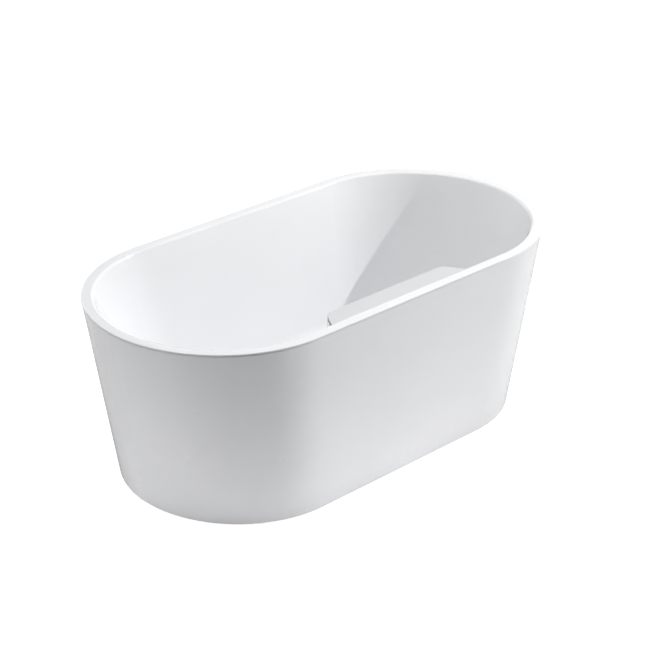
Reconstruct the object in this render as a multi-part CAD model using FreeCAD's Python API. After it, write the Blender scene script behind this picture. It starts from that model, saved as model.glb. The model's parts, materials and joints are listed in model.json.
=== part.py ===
import FreeCAD, Part
import math
import os

# Free-standing acrylic bathtub with a tap ledge on one long side.
# All lengths are millimetres. X runs along the tub, Y across it, and Z up.
# The origin lies on the floor, under the middle of the tub. The ledge is on the -Y side.

# Whole tub: a stadium in plan, wider at the rim than at the floor
tub_length = 1500.0
tub_width = 762.0
tub_height = 558.0
end_taper = 96.5
side_taper = 37.5

# Rim and its seam
rim_land = 32.5
rim_thickness = 4.5
rim_outer_round = 2.4
rim_inner_round = 8.0
bond_thickness = 1.0
bond_setback = 1.6

# Inner shell
shell_wall = 6.2
floor_height = 128.0
floor_end_inset = 197.5
floor_side_inset = 133.5
floor_round = 60.0

# Outer skirt
skirt_wall = 5.0
skirt_lip_width = 22.0
skirt_floor_gap = 4.0
skirt_top_round = 1.6

# Tap ledge and its cover
ledge_half_length = 222.0
ledge_depth = 126.0
ledge_flare_deg = 58.0
ledge_draft_deg = 2.0
ledge_corner_round = 26.0
ledge_foot_round = 12.0
cover_drop = 25.0
cover_thickness = 5.0
cover_gap = 8.0
cover_edge_round = 1.0
cover_clearance = 0.5
pad_radius = 8.0
pad_inset = 20.0
pad_row_gap = 40.0

# Floor waste
dish_radius = 52.0
dish_depth = 4.0
waste_lip_radius = 35.0
waste_lip_thickness = 2.0
waste_lip_round = 0.8
waste_body_radius = 23.5
waste_bore_radius = 19.5
waste_body_bottom = 80.0
waste_hole_clearance = 0.8
top_gasket_thickness = 1.0
bottom_gasket_thickness = 3.0
bottom_gasket_radius = 36.0
lock_nut_radius = 39.0
lock_nut_thickness = 8.0
hub_radius = 9.0
hub_height = 10.0
hub_top_drop = 4.0
spider_arms = 3
spider_arm_width = 3.0

# Push plug
plug_travel = 10.0
plug_radius = 31.0
plug_edge = 3.0
plug_dome = 2.2
plug_edge_round = 0.9
plug_seal_inner = 23.0
plug_seal_outer = 29.0
plug_seal_thickness = 2.0
plug_rest_gap = 0.3
plug_stem_radius = 5.0
plug_stop_radius = 7.5
plug_stop_thickness = 3.0

# Drain tee and tailpiece
tee_collar_radius = 29.0
tee_collar_height = 26.0
tee_body_radius = 26.0
tee_bore_radius = 20.5
tee_bottom = 30.0
tee_shoulder = 6.0
inlet_height = 54.0
inlet_length = 62.0
inlet_radius = 20.0
inlet_bore_radius = 14.0
inlet_socket_depth = 28.0
tail_radius = 19.05
tail_bore_radius = 17.5
tail_bottom = 8.0
tail_collar_radius = 25.0
tail_collar_height = 6.0
tail_spigot_height = 9.0

# Overflow
overflow_setback = 47.0
overflow_lip_radius = 27.0
overflow_lip_thickness = 1.5
overflow_wall = 3.7
overflow_tail_length = 34.0
overflow_gasket_radius = 29.0
overflow_gasket_thickness = 3.0
overflow_nut_radius = 29.0
overflow_nut_thickness = 10.0
overflow_bar_width = 2.5
overflow_bar_height = 3.0
pipe_radius = 16.0
pipe_wall = 2.0
pipe_bend_radius = 70.0
pipe_insertion = 12.0
pipe_nut_radius = 27.0
pipe_nut_length = 16.0
pipe_nut_overlap = 8.0
pipe_nut_grips = 12
pipe_nut_grip_radius = 2.4

# Fits between pieces of the drain
thread_clearance = 0.1
pipe_clearance = 0.3

# Base board and steel frame
board_end_margin = 120.0
board_side_margin = 45.0
board_thickness = 15.0
board_corner = 60.0
board_hole_radius = 62.0
tube_size = 30.0
tube_wall = 2.0
rail_overhang = 30.0
rail_inset = 25.0
cross_inset = 130.0
bracket_thickness = 3.0
bracket_size = 60.0
batten_length = 70.0
batten_height = 64.0
batten_thickness = 18.0
end_cap_thickness = 3.0
end_cap_plug = 12.0
end_cap_clearance = 0.1

# Levelling feet
foot_inset = 25.0
stem_radius = 6.0
stem_clearance = 0.08
stem_head_room = 4.0
weld_nut_flats = 19.0
weld_nut_height = 10.0
lock_nut_flats = 19.0
lock_nut_height = 8.0
foot_hex_flats = 19.0
foot_hex_height = 7.0
pad_foot_radius = 26.0
pad_foot_edge = 3.0
pad_foot_height = 10.0
pad_foot_neck = 13.0
pad_foot_socket = 6.0
pad_foot_clearance = 0.1

# One overrun for every cut that has to break through
overrun = 2.0

# Lengths and widths worked out from the sizes above
footprint_length = tub_length - 2 * end_taper
footprint_width = tub_width - 2 * side_taper
mouth_length = tub_length - 2 * rim_land
mouth_width = tub_width - 2 * rim_land
floor_length = mouth_length - 2 * floor_end_inset
floor_width = mouth_width - 2 * floor_side_inset
ledge_front = tub_width / 2 - ledge_depth
overflow_y = ledge_front + overflow_setback
board_length = floor_length - 2 * board_end_margin
board_width = floor_width - 2 * board_side_margin
rail_length = board_length + 2 * rail_overhang
rail_offset = board_width / 2 - rail_inset
cross_x = board_length / 2 - cross_inset
foot_x = rail_length / 2 - foot_inset

# Levels worked out from the sizes above
rim_underside = tub_height - rim_thickness
skirt_top = rim_underside - bond_thickness
cover_top = tub_height - cover_drop
cover_bottom = cover_top - cover_thickness
deck_height = cover_bottom - cover_gap
deck_underside = deck_height - shell_wall
board_top = floor_height - shell_wall
board_bottom = board_top - board_thickness
rail_bottom = board_bottom - tube_size
dish_seat = floor_height - dish_depth
waste_lip_bottom = dish_seat + top_gasket_thickness
waste_lip_top = waste_lip_bottom + waste_lip_thickness
waste_hole_radius = waste_body_radius + waste_hole_clearance
boss_bottom = dish_seat - shell_wall
waste_nut_top = boss_bottom - bottom_gasket_thickness
waste_nut_bottom = waste_nut_top - lock_nut_thickness
hub_top = waste_lip_bottom - hub_top_drop
hub_bottom = hub_top - hub_height
plug_seal_bottom = waste_lip_top + plug_rest_gap
plug_cap_bottom = plug_seal_bottom + plug_seal_thickness
plug_stop_top = hub_bottom - plug_travel - plug_rest_gap
tee_top = waste_body_bottom + tee_collar_height
overflow_bore_radius = pipe_radius + pipe_clearance
overflow_tail_radius = overflow_bore_radius + overflow_wall
overflow_tail_bottom = deck_height - overflow_tail_length
overflow_nut_top = deck_underside - overflow_gasket_thickness
overflow_nut_bottom = overflow_nut_top - overflow_nut_thickness
weld_nut_bottom = rail_bottom - weld_nut_height
foot_lock_nut_bottom = weld_nut_bottom - lock_nut_height
stem_top = board_bottom - tube_wall - stem_head_room
stem_bottom = pad_foot_height - pad_foot_socket
stem_hole_radius = stem_radius + stem_clearance

UP = FreeCAD.Vector(0, 0, 1)
FRONT = FreeCAD.Vector(0, -1, 0)
SIDES = (-1, 1)


def point(x, y, z):
    """A point in the tub's own frame."""
    return FreeCAD.Vector(x, y, z)


def stadium(length, width, height):
    """Stadium outline at one height: two straight sides and four quarter arcs."""
    radius = width / 2
    straight = length / 2 - radius
    reach = radius * math.cos(math.pi / 4)
    edges = [Part.makeLine(point(-straight, -radius, height), point(straight, -radius, height))]
    for side in (1, -1):
        centre = side * straight
        start = point(centre, -side * radius, height)
        tip = point(centre + side * radius, 0, height)
        end = point(centre, side * radius, height)
        first = point(centre + side * reach, -side * reach, height)
        second = point(centre + side * reach, side * reach, height)
        edges.append(Part.Arc(start, first, tip).toShape())
        edges.append(Part.Arc(tip, second, end).toShape())
        if side > 0:
            edges.append(Part.makeLine(end, point(-straight, radius, height)))
    return Part.Wire(edges)


def stadium_prism(length, width, bottom, top):
    """Upright stadium from one height to another."""
    face = Part.Face(stadium(length, width, bottom))
    return face.extrude(point(0, 0, top - bottom))


def tapered(size_at, bottom, top):
    """Ruled stadium solid, with size_at giving its length and width at a height."""
    lower = stadium(*size_at(bottom), bottom)
    upper = stadium(*size_at(top), top)
    return Part.makeLoft([lower, upper], True, True)


def bowl_size(height, grow):
    """Length and width of the inner shell's bathing side at a height, grown all round."""
    share = (height - floor_height) / (tub_height - floor_height)
    length = floor_length + (mouth_length - floor_length) * share
    width = floor_width + (mouth_width - floor_width) * share
    return length + 2 * grow, width + 2 * grow


def skirt_size(height, grow):
    """Length and width of the skirt's outside at a height, grown all round."""
    share = height / tub_height
    length = footprint_length + (tub_length - footprint_length) * share
    width = footprint_width + (tub_width - footprint_width) * share
    return length + 2 * grow, width + 2 * grow


def edges_at(shape, height):
    """Edges of a shape that lie wholly at one height."""
    close = overrun / 100
    return [edge for edge in shape.Edges
            if abs(edge.BoundBox.ZMin - height) < close and abs(edge.BoundBox.ZMax - height) < close]


def bowl(grow, bottom, top, bottom_round):
    """Tapered bowl form with a rounded foot."""
    form = tapered(lambda height: bowl_size(height, grow), bottom, top)
    return form.makeFillet(bottom_round, edges_at(form, bottom))


def cylinder(radius, bottom, top, x=0.0, y=0.0):
    """Upright cylinder between two heights."""
    return Part.makeCylinder(radius, top - bottom, point(x, y, bottom), UP)


def ring(inner, outer, bottom, top, x=0.0, y=0.0):
    """Upright ring between two heights."""
    return cylinder(outer, bottom, top, x, y).cut(cylinder(inner, bottom - overrun, top + overrun, x, y))


def revolved(profile, x=0.0, y=0.0):
    """Solid turned about an upright axis from radius and height pairs."""
    points = [point(x + radius, y, height) for radius, height in profile]
    wire = Part.makePolygon(points + points[:1])
    return Part.Face(wire).revolve(point(x, y, 0), UP, 360)


def hexagon_prism(flats, bottom, top, x=0.0, y=0.0):
    """Upright hexagonal prism, given across its flats."""
    corner = flats / 2 / math.cos(math.pi / 6)
    points = []
    for step in range(6):
        angle = math.radians(60 * step)
        points.append(point(x + corner * math.cos(angle), y + corner * math.sin(angle), bottom))
    face = Part.Face(Part.makePolygon(points + points[:1]))
    return face.extrude(point(0, 0, top - bottom))


def hex_nut(flats, bore, bottom, top, x=0.0, y=0.0):
    """Hexagonal nut with its corners chamfered by a cone at both ends."""
    corner = flats / 2 / math.cos(math.pi / 6)
    bevel = (corner - flats / 2) / 2
    blank = revolved([(0, bottom), (corner - bevel, bottom), (corner, bottom + bevel),
                      (corner, top - bevel), (corner - bevel, top), (0, top)], x, y)
    nut = hexagon_prism(flats, bottom, top, x, y).common(blank)
    return nut.cut(cylinder(bore, bottom - overrun, top + overrun, x, y))


def box(x_low, x_high, y_low, y_high, z_low, z_high):
    """Box between two corners."""
    return Part.makeBox(x_high - x_low, y_high - y_low, z_high - z_low, point(x_low, y_low, z_low))


def group(solids):
    """Identical pieces kept as separate solids of one node."""
    return Part.makeCompound(solids)


def ledge_outline(grow, height):
    """Plan of the ledge: a long front, flared ends and rounded front corners."""
    flare = math.radians(ledge_flare_deg)
    front = -ledge_front + grow
    back = -tub_width / 2 - ledge_corner_round
    corner_x = ledge_half_length + grow * (1 - math.cos(flare)) / math.sin(flare)
    back_x = ledge_half_length + (grow + (-ledge_front - back) * math.cos(flare)) / math.sin(flare)
    turn_radius = ledge_corner_round + grow
    trim = turn_radius * math.tan(flare / 2)
    front_end = point(corner_x - trim, front, height)
    flare_start = point(corner_x + trim * math.cos(flare), front - trim * math.sin(flare), height)
    middle = point(corner_x - trim + turn_radius * math.sin(flare / 2),
                   front - turn_radius + turn_radius * math.cos(flare / 2), height)
    back_end = point(back_x, back, height)

    def mirrored(place):
        return point(-place.x, place.y, place.z)

    edges = [Part.makeLine(mirrored(front_end), front_end),
             Part.Arc(front_end, middle, flare_start).toShape(),
             Part.makeLine(flare_start, back_end),
             Part.makeLine(back_end, mirrored(back_end)),
             Part.makeLine(mirrored(back_end), mirrored(flare_start)),
             Part.Arc(mirrored(flare_start), mirrored(middle), mirrored(front_end)).toShape()]
    return Part.Wire(edges)


def ledge_form(inset, top):
    """Drafted ledge block, down to the bathing floor, set in by a wall."""
    depth = deck_height - floor_height
    spread = depth * math.tan(math.radians(ledge_draft_deg))
    upper = ledge_outline(-inset, top)
    lower = ledge_outline(spread - inset, floor_height)
    return Part.makeLoft([lower, upper], True, True)


def ledge_foot_edges(shape):
    """Edges where the ledge's front and ends run into the sloping wall, below its deck."""
    close = overrun / 10
    found = []
    for edge in shape.Edges:
        extent = edge.BoundBox
        is_below = extent.ZMax < deck_height + close and extent.ZMin < deck_height - close
        on_wall = all(abs(vertex.Y + bowl_size(vertex.Z, 0)[1] / 2) < close for vertex in edge.Vertexes)
        if is_below and on_wall and extent.ZMin > floor_height + floor_round:
            found.append(edge)
    return found


def bathing_form():
    """Space inside the tub: the bowl less the ledge, with a soft round where they meet."""
    space = bowl(0, floor_height, tub_height + overrun, floor_round).cut(ledge_form(0, deck_height))
    return space.makeFillet(ledge_foot_round, ledge_foot_edges(space))


def basin_shell():
    """Formed inner shell: rim, sloping walls, tap ledge and floor with its drain dish."""
    back = bowl(shell_wall, floor_height - shell_wall, rim_underside, floor_round + shell_wall)
    flange = stadium_prism(tub_length, tub_width, rim_underside, tub_height)
    boss = cylinder(dish_radius + shell_wall, boss_bottom, floor_height - shell_wall / 2)
    blank = back.fuse([flange, boss])
    shell = blank.cut(bathing_form())
    shell = shell.cut(ledge_form(shell_wall, deck_underside))
    dish = revolved([(0, dish_seat), (waste_lip_radius + overrun, dish_seat), (dish_radius, floor_height),
                     (dish_radius, floor_height + overrun), (0, floor_height + overrun)])
    shell = shell.cut(dish)
    shell = shell.cut(cylinder(waste_hole_radius, boss_bottom - overrun, floor_height))
    overflow_hole = cylinder(overflow_tail_radius + thread_clearance, deck_underside - overrun,
                             deck_height + overrun, 0, -overflow_y)
    shell = shell.cut(overflow_hole)
    outer_edges = [edge for edge in edges_at(shell, tub_height)
                   if on_outline(edge, tub_length, tub_width)]
    shell = shell.makeFillet(rim_outer_round, outer_edges)
    inner_edges = [edge for edge in edges_at(shell, tub_height)
                   if on_outline(edge, mouth_length, mouth_width)]
    return shell.makeFillet(rim_inner_round, inner_edges)


def on_outline(edge, length, width):
    """Whether an edge lies on a stadium outline of this length and width."""
    radius = width / 2
    straight = length / 2 - radius
    middle = edge.valueAt((edge.FirstParameter + edge.LastParameter) / 2)
    past = max(abs(middle.x) - straight, 0)
    return abs(math.hypot(past, middle.y) - radius) < overrun / 10


def outer_skirt():
    """Tapered outer shell with an inward lip at its top."""
    outside = tapered(lambda height: skirt_size(height, 0), skirt_floor_gap, skirt_top)
    outside = outside.makeFillet(skirt_top_round, edges_at(outside, skirt_top))
    hollow = tapered(lambda height: skirt_size(height, -skirt_wall),
                     skirt_floor_gap - overrun, skirt_top - skirt_wall)
    mouth = stadium_prism(tub_length - 2 * skirt_lip_width, tub_width - 2 * skirt_lip_width,
                          skirt_top - skirt_wall - overrun, skirt_top + overrun)
    return outside.cut([hollow, mouth])


def rim_bond_bead():
    """Adhesive seam between the skirt's lip and the rim, set back from the edge."""
    outside = stadium_prism(tub_length - 2 * bond_setback, tub_width - 2 * bond_setback,
                            skirt_top, rim_underside)
    inside = stadium_prism(tub_length - 2 * skirt_lip_width, tub_width - 2 * skirt_lip_width,
                           skirt_top - overrun, rim_underside + overrun)
    return outside.cut(inside)


def ledge_cover():
    """Lift-off plate over the overflow gap, shaped to the wall behind it."""
    plate = Part.Face(ledge_outline(0, cover_bottom)).extrude(point(0, 0, cover_thickness))
    reach = tapered(lambda height: bowl_size(height, -cover_clearance),
                    cover_bottom - overrun, cover_top + overrun)
    plate = plate.common(reach)
    return plate.makeFillet(cover_edge_round, edges_at(plate, cover_top))


def cover_pads():
    """Spacers under the ledge cover that keep the overflow gap open."""
    pads = []
    for side in SIDES:
        x = side * (ledge_half_length - pad_inset)
        for y in (-ledge_front - pad_inset, -ledge_front - pad_inset - pad_row_gap):
            pads.append(cylinder(pad_radius, deck_height, cover_bottom, x, y))
    return group(pads)


def overflow_outlet():
    """Flanged outlet in the ledge deck, with two crossed bars over its bore."""
    body = cylinder(overflow_tail_radius, overflow_tail_bottom, deck_height, 0, -overflow_y)
    lip = cylinder(overflow_lip_radius, deck_height, deck_height + overflow_lip_thickness, 0, -overflow_y)
    bore = cylinder(overflow_bore_radius, overflow_tail_bottom - overrun,
                    deck_height + overflow_lip_thickness + overrun, 0, -overflow_y)
    outlet = body.fuse(lip).cut(bore)
    reach = overflow_bore_radius + overflow_wall / 2
    half_bar = overflow_bar_width / 2
    bar_top = deck_height + overflow_lip_thickness
    along = box(-reach, reach, -overflow_y - half_bar, -overflow_y + half_bar,
                bar_top - overflow_bar_height, bar_top)
    across = box(-half_bar, half_bar, -overflow_y - reach, -overflow_y + reach,
                 bar_top - overflow_bar_height, bar_top)
    return outlet.fuse([along, across]).removeSplitter()


def overflow_gasket():
    """Seal between the ledge deck and the overflow's back nut."""
    return ring(overflow_tail_radius + thread_clearance, overflow_gasket_radius,
                overflow_nut_top, deck_underside, 0, -overflow_y)


def overflow_back_nut():
    """Nut that pulls the overflow outlet down on the deck."""
    flats = 2 * overflow_nut_radius
    return hex_nut(flats, overflow_tail_radius + thread_clearance, overflow_nut_bottom,
                   overflow_nut_top, 0, -overflow_y)


def overflow_pipe():
    """Pipe from the ledge outlet down, and under the frame to the drain tee."""
    top = overflow_tail_bottom + pipe_insertion
    drop_end = inlet_height + pipe_bend_radius
    run_start = -overflow_y + pipe_bend_radius
    run_end = -inlet_length + inlet_socket_depth
    lean = pipe_bend_radius * (1 - math.cos(math.pi / 4))
    path = Part.Wire([
        Part.makeLine(point(0, -overflow_y, top), point(0, -overflow_y, drop_end)),
        Part.Arc(point(0, -overflow_y, drop_end),
                 point(0, -overflow_y + lean, inlet_height + lean),
                 point(0, run_start, inlet_height)).toShape(),
        Part.makeLine(point(0, run_start, inlet_height), point(0, run_end, inlet_height))])
    walls = []
    for radius in (pipe_radius, pipe_radius - pipe_wall):
        circle = Part.Wire(Part.makeCircle(radius, point(0, -overflow_y, top), point(0, 0, -1)))
        walls.append(path.makePipeShell([circle], True, True))
    return walls[0].cut(walls[1])


def pipe_nut_profile(face, thread_radius):
    """Half section of a pipe nut: a wide threaded mouth and a narrow throat on the pipe."""
    throat = pipe_radius + thread_clearance
    mouth = thread_radius + thread_clearance
    far = face + pipe_nut_overlap
    near = far - pipe_nut_length
    return [(throat, near), (pipe_nut_radius, near), (pipe_nut_radius, far), (mouth, far),
            (mouth, face), (throat, face)]


def overflow_pipe_nut():
    """Nut that holds the pipe in the overflow outlet."""
    nut = revolved(pipe_nut_profile(overflow_tail_bottom, overflow_tail_radius), 0, -overflow_y)
    return grip_cuts(nut, overflow_tail_bottom, 0, -overflow_y)


def grip_cuts(nut, face, x, y):
    """Scallops round a pipe nut, for the hand."""
    far = face + pipe_nut_overlap
    near = far - pipe_nut_length
    cuts = []
    for step in range(pipe_nut_grips):
        angle = 2 * math.pi * step / pipe_nut_grips
        cuts.append(cylinder(pipe_nut_grip_radius, near - overrun, far + overrun,
                             x + pipe_nut_radius * math.cos(angle), y + pipe_nut_radius * math.sin(angle)))
    return nut.cut(cuts)


def tee_inlet_nut():
    """Nut that holds the pipe in the tee's side inlet."""
    nut = grip_cuts(revolved(pipe_nut_profile(0, inlet_radius)), 0, 0, 0)
    nut.rotate(point(0, 0, 0), point(1, 0, 0), -90)
    nut.translate(point(0, -inlet_length, inlet_height))
    return nut


def waste_flange():
    """Floor waste: lip, threaded body and the spider that guides the plug."""
    profile = [(waste_bore_radius, waste_body_bottom), (waste_body_radius, waste_body_bottom),
               (waste_body_radius, waste_lip_bottom), (waste_lip_radius, waste_lip_bottom),
               (waste_lip_radius, waste_lip_top - waste_lip_round),
               (waste_lip_radius - waste_lip_round, waste_lip_top), (waste_bore_radius, waste_lip_top)]
    flange = revolved(profile)
    pieces = [cylinder(hub_radius, hub_bottom, hub_top)]
    reach = (waste_bore_radius + waste_body_radius) / 2
    for arm in range(spider_arms):
        bar = box(0, reach, -spider_arm_width / 2, spider_arm_width / 2, hub_bottom, hub_top)
        bar.rotate(point(0, 0, 0), UP, 360 * arm / spider_arms)
        pieces.append(bar)
    return flange.fuse(pieces).cut(cylinder(plug_stem_radius + stem_clearance, hub_bottom - overrun,
                                            hub_top + overrun))


def waste_top_gasket():
    """Seal between the waste's lip and the drain dish."""
    return ring(waste_body_radius + thread_clearance, waste_lip_radius - waste_lip_round,
                dish_seat, waste_lip_bottom)


def waste_bottom_gasket():
    """Rubber seal under the floor."""
    return ring(waste_body_radius + thread_clearance, bottom_gasket_radius, waste_nut_top, boss_bottom)


def waste_lock_nut():
    """Large hexagonal nut that clamps the waste to the floor."""
    return hex_nut(2 * lock_nut_radius * math.cos(math.pi / 6), waste_body_radius + thread_clearance,
                   waste_nut_bottom, waste_nut_top)


def plug_cap():
    """Domed cap of the push plug, with a small round between its dome and its edge."""
    crown = plug_cap_bottom + plug_edge + plug_dome
    dome_radius = (plug_radius ** 2 + plug_dome ** 2) / (2 * plug_dome)
    dome_centre = crown - dome_radius
    round_x = plug_radius - plug_edge_round
    round_reach = dome_radius - plug_edge_round
    lean = math.asin(round_x / round_reach)
    round_z = dome_centre + round_reach * math.cos(lean)

    def on_dome(angle):
        return point(dome_radius * math.sin(angle), 0, dome_centre + dome_radius * math.cos(angle))

    def on_round(angle):
        return point(round_x + plug_edge_round * math.sin(angle), 0,
                     round_z + plug_edge_round * math.cos(angle))

    edge_top = on_round(math.pi / 2)
    edge_foot = point(plug_radius, 0, plug_cap_bottom)
    middle = point(0, 0, plug_cap_bottom)
    edges = [Part.makeLine(middle, edge_foot),
             Part.makeLine(edge_foot, edge_top),
             Part.Arc(edge_top, on_round((lean + math.pi / 2) / 2), on_dome(lean)).toShape(),
             Part.Arc(on_dome(lean), on_dome(lean / 2), on_dome(0)).toShape(),
             Part.makeLine(on_dome(0), middle)]
    return Part.Face(Part.Wire(edges)).revolve(point(0, 0, 0), UP, 360)


def plug_seal():
    """Rubber ring under the plug's cap."""
    return ring(plug_seal_inner, plug_seal_outer, plug_seal_bottom, plug_cap_bottom)


def plug_stem():
    """Stem that slides in the waste's hub, with a stop below it."""
    stop_bottom = plug_stop_top - plug_stop_thickness
    return cylinder(plug_stem_radius, stop_bottom, plug_cap_bottom).fuse(
        cylinder(plug_stop_radius, stop_bottom, plug_stop_top))


def drain_tee():
    """Tee below the floor, with a collar on the waste and a side inlet for the overflow."""
    collar_bottom = waste_body_bottom - tee_shoulder
    body = cylinder(tee_body_radius, tee_bottom, waste_body_bottom)
    collar = cylinder(tee_collar_radius, collar_bottom, tee_top)
    middle = point(0, 0, inlet_height)
    side = Part.makeCylinder(inlet_radius, inlet_length, middle, FRONT)
    socket_end = point(0, -inlet_length + inlet_socket_depth, inlet_height)
    cavity = [cylinder(tee_bore_radius, tee_bottom - overrun, waste_body_bottom),
              cylinder(waste_body_radius + thread_clearance, waste_body_bottom, tee_top + overrun),
              Part.makeCylinder(inlet_bore_radius, inlet_length, middle, FRONT),
              Part.makeCylinder(overflow_bore_radius, inlet_socket_depth + overrun, socket_end, FRONT)]
    return body.fuse([collar, side]).cut(cavity)


def tailpiece():
    """Outlet pipe below the tee, screwed in up to its collar."""
    collar_bottom = tee_bottom - tail_collar_height
    spigot_top = tee_bottom + tail_spigot_height
    spigot_radius = tee_bore_radius - thread_clearance
    return revolved([(tail_bore_radius, tail_bottom), (tail_radius, tail_bottom),
                     (tail_radius, collar_bottom), (tail_collar_radius, collar_bottom),
                     (tail_collar_radius, tee_bottom), (spigot_radius, tee_bottom),
                     (spigot_radius, spigot_top), (tail_bore_radius, spigot_top)])


def base_board():
    """Wooden board laminated under the floor, with a hole for the waste."""
    board = box(-board_length / 2, board_length / 2, -board_width / 2, board_width / 2,
                board_bottom, board_top)
    corners = [edge for edge in board.Edges if edge.BoundBox.ZLength > board_thickness / 2]
    board = board.makeFillet(board_corner, corners)
    return board.cut(cylinder(board_hole_radius, board_bottom - overrun, board_top + overrun))


def tube(length, start, direction):
    """Square steel tube along X or Y from the middle of its end."""
    half = tube_size / 2
    inner = half - tube_wall
    along_x = abs(direction.x) > abs(direction.y)

    def block(reach, low, total):
        if along_x:
            return Part.makeBox(total, 2 * reach, 2 * reach, point(low, start.y - reach, start.z - reach))
        return Part.makeBox(2 * reach, total, 2 * reach, point(start.x - reach, low, start.z - reach))

    low = start.x if along_x else start.y
    return block(half, low, length).cut(block(inner, low - overrun, length + 2 * overrun))


def rail(side):
    """Steel tube along one side of the base, drilled for its feet."""
    start = point(-rail_length / 2, side * rail_offset, rail_bottom + tube_size / 2)
    body = tube(rail_length, start, point(1, 0, 0))
    drill_top = rail_bottom + tube_wall + overrun
    cuts = []
    for end in SIDES:
        cuts.append(cylinder(stem_hole_radius, rail_bottom - overrun, drill_top,
                             end * foot_x, side * rail_offset))
    return body.cut(cuts)


def cross_members():
    """Two steel tubes between the rails."""
    reach = rail_offset - tube_size / 2
    middle = rail_bottom + tube_size / 2
    return group([tube(2 * reach, point(end * cross_x, -reach, middle), point(0, 1, 0)) for end in SIDES])


def bracket_plane():
    """Distance from the middle to the inner face of the battens."""
    batten_bottom = rail_bottom + tube_size / 2 - batten_height / 2
    return skirt_size(batten_bottom, -skirt_wall)[1] / 2 - batten_thickness


def outriggers():
    """Short steel tubes from the rails out to the skirt brackets."""
    inner = rail_offset + tube_size / 2
    outer = bracket_plane() - bracket_thickness
    middle = rail_bottom + tube_size / 2
    tubes = []
    for end in SIDES:
        for start in (-outer, inner):
            tubes.append(tube(outer - inner, point(end * cross_x, start, middle), point(0, 1, 0)))
    return group(tubes)


def skirt_battens():
    """Wooden blocks glued inside the skirt, cut to its slope."""
    middle = rail_bottom + tube_size / 2
    inside = tapered(lambda height: skirt_size(height, -skirt_wall), skirt_floor_gap,
                     skirt_top - skirt_wall)
    battens = []
    for end in SIDES:
        for side in SIDES:
            near = side * bracket_plane()
            far = side * tub_width / 2
            block = box(end * cross_x - batten_length / 2, end * cross_x + batten_length / 2,
                        min(near, far), max(near, far),
                        middle - batten_height / 2, middle + batten_height / 2)
            battens.append(block.common(inside))
    return group(battens)


def skirt_brackets():
    """Steel plates between the outriggers and the battens."""
    middle = rail_bottom + tube_size / 2
    half = bracket_size / 2
    plates = []
    for end in SIDES:
        for side in SIDES:
            near = side * (bracket_plane() - bracket_thickness)
            far = side * bracket_plane()
            plates.append(box(end * cross_x - half, end * cross_x + half, min(near, far),
                              max(near, far), middle - half, middle + half))
    return group(plates)


def tube_end_caps():
    """Plastic caps in the ends of the rails."""
    middle = rail_bottom + tube_size / 2
    half = tube_size / 2
    inner = half - tube_wall - end_cap_clearance
    caps = []
    for end in SIDES:
        for side in SIDES:
            face = end * rail_length / 2
            outer = face + end * end_cap_thickness
            deep = face - end * end_cap_plug
            y = side * rail_offset
            plate = box(min(face, outer), max(face, outer), y - half, y + half,
                        middle - half, middle + half)
            plug = box(min(face, deep), max(face, deep), y - inner, y + inner,
                       middle - inner, middle + inner)
            caps.append(plate.fuse(plug))
    return group(caps)


def foot_places():
    """Plan places of the four levelling feet, by name."""
    names = {(-1, -1): "front_left", (1, -1): "front_right", (-1, 1): "back_left", (1, 1): "back_right"}
    return [(name, end * foot_x, side * rail_offset) for (end, side), name in names.items()]


def weld_nuts():
    """Nuts welded under the rails for the feet."""
    return group([hex_nut(weld_nut_flats, stem_hole_radius, weld_nut_bottom, rail_bottom, x, y)
                  for _, x, y in foot_places()])


def lock_nuts():
    """Nuts that lock the feet's stems."""
    return group([hex_nut(lock_nut_flats, stem_hole_radius, foot_lock_nut_bottom, weld_nut_bottom, x, y)
                  for _, x, y in foot_places()])


def foot_stem(x, y):
    """Threaded stem of a levelling foot, with its spanner hexagon."""
    stem = cylinder(stem_radius, stem_bottom, stem_top, x, y)
    hex_top = pad_foot_height + foot_hex_height
    return stem.fuse(hexagon_prism(foot_hex_flats, pad_foot_height, hex_top, x, y))


def foot_pad(x, y):
    """Round plastic pad under a levelling foot, with a socket for the stem."""
    pad = revolved([(0, 0), (pad_foot_radius, 0), (pad_foot_radius, pad_foot_edge),
                    (pad_foot_neck, pad_foot_height), (0, pad_foot_height)], x, y)
    return pad.cut(cylinder(stem_radius + pad_foot_clearance, stem_bottom, pad_foot_height + overrun, x, y))


def nodes():
    """Every named piece of the tub."""
    made = {
        "basin_shell": basin_shell(),
        "outer_skirt": outer_skirt(),
        "rim_bond_bead": rim_bond_bead(),
        "ledge_cover": ledge_cover(),
        "cover_pads": cover_pads(),
        "overflow_outlet": overflow_outlet(),
        "overflow_gasket": overflow_gasket(),
        "overflow_back_nut": overflow_back_nut(),
        "overflow_pipe": overflow_pipe(),
        "overflow_pipe_nut": overflow_pipe_nut(),
        "tee_inlet_nut": tee_inlet_nut(),
        "waste_flange": waste_flange(),
        "waste_top_gasket": waste_top_gasket(),
        "waste_bottom_gasket": waste_bottom_gasket(),
        "waste_lock_nut": waste_lock_nut(),
        "drain_tee": drain_tee(),
        "tailpiece": tailpiece(),
        "plug_cap": plug_cap(),
        "plug_seal": plug_seal(),
        "plug_stem": plug_stem(),
        "base_board": base_board(),
        "rail_front": rail(-1),
        "rail_back": rail(1),
        "cross_members": cross_members(),
        "outriggers": outriggers(),
        "tube_end_caps": tube_end_caps(),
        "skirt_battens": skirt_battens(),
        "skirt_brackets": skirt_brackets(),
        "weld_nuts": weld_nuts(),
        "lock_nuts": lock_nuts(),
    }
    for name, x, y in foot_places():
        made["foot_stem_" + name] = foot_stem(x, y)
        made["foot_pad_" + name] = foot_pad(x, y)
    return made


def main():
    """Writes one file for each piece."""
    os.makedirs("parts", exist_ok=True)
    for name, shape in nodes().items():
        if not shape.isValid() or not shape.Solids:
            raise ValueError(name + " is not a valid solid")
        shape.exportStep("parts/" + name + ".step")
        print(name, len(shape.Solids), "solids,", round(shape.Volume), "mm3")


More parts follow.
